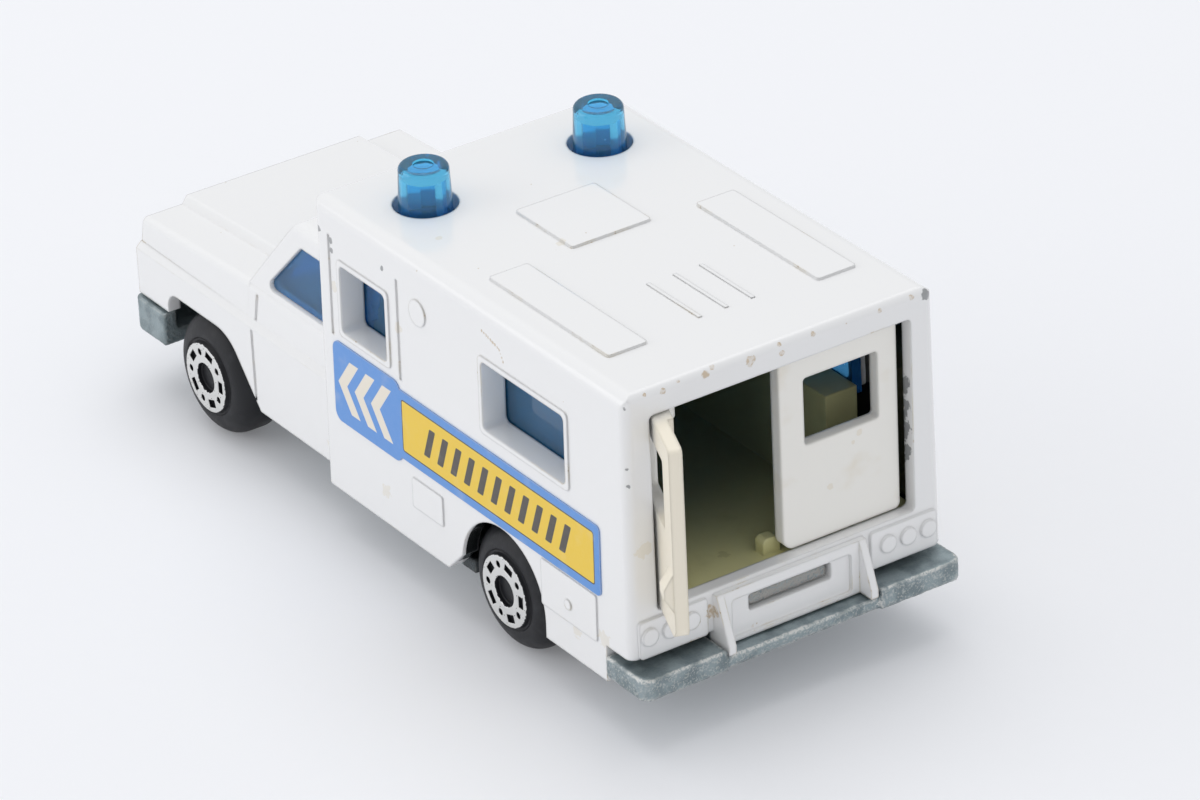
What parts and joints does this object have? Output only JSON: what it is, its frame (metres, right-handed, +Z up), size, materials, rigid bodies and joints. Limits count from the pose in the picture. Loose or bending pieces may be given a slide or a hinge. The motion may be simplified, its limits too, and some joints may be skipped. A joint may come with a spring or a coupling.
{
  "type": "toy ambulance",
  "caption": "Pocket die-cast toy ambulance: pickup cab, square patient box with hinged rear doors, clear blue windows and beacons, free-rolling wheels on a riveted base",
  "frame": {"origin": "on the ground under the middle of the resting toy's footprint, open left rear door included", "axes": "+X to the toy's left side, +Y towards its rear doors, +Z up"},
  "size_m": [0.0306, 0.0808, 0.0338],
  "materials": {
    "white_enamel": "glossy white enamel with small edge chips",
    "bare_cast": "blue-grey rough die-cast metal with worn bright edges",
    "cream_plastic": "satin cream plastic",
    "clear_blue": "transparent blue plastic",
    "door_plastic": "satin off-white plastic",
    "axle_steel": "drawn steel wire",
    "wheel_plastic": "black plastic with a silver foil ring on the hub",
    "label_film": "printed paper label, blue border and yellow field"
  },
  "bodies": {
    "vehicle": {"body_shell": "white_enamel", "base_plate": "bare_cast", "interior_moulding": "cream_plastic", "window_moulding": "clear_blue", "front_axle": "axle_steel", "rear_axle": "axle_steel", "side_label_left": "label_film", "side_label_right": "label_film"},
    "door_left": {"rear_door_left": "door_plastic"},
    "door_right": {"rear_door_right": "door_plastic"},
    "front_left_wheel": {"wheel_front_left": "wheel_plastic"},
    "front_right_wheel": {"wheel_front_right": "wheel_plastic"},
    "rear_left_wheel": {"wheel_rear_left": "wheel_plastic"},
    "rear_right_wheel": {"wheel_rear_right": "wheel_plastic"}
  },
  "joints": [
    {"name": "left_door_hinge", "type": "hinge", "parent": "vehicle", "child": "door_left", "pos_m": [0.00915, 0.03241, 0.01957], "axis": [0, 0, 1], "range_deg": [0, 112]},
    {"name": "right_door_hinge", "type": "hinge", "parent": "vehicle", "child": "door_right", "pos_m": [-0.00915, 0.03241, 0.01957], "axis": [0, 0, 1], "range_deg": [0, 112]},
    {"name": "front_left_spin", "type": "hinge", "parent": "vehicle", "child": "front_left_wheel", "pos_m": [0.01255, -0.02759, 0.0054], "axis": [1, 0, 0], "continuous": true},
    {"name": "front_right_spin", "type": "hinge", "parent": "vehicle", "child": "front_right_wheel", "pos_m": [-0.01255, -0.02759, 0.0054], "axis": [1, 0, 0], "continuous": true},
    {"name": "rear_left_spin", "type": "hinge", "parent": "vehicle", "child": "rear_left_wheel", "pos_m": [0.01255, 0.01711, 0.0054], "axis": [1, 0, 0], "continuous": true},
    {"name": "rear_right_spin", "type": "hinge", "parent": "vehicle", "child": "rear_right_wheel", "pos_m": [-0.01255, 0.01711, 0.0054], "axis": [1, 0, 0], "continuous": true}
  ]
}
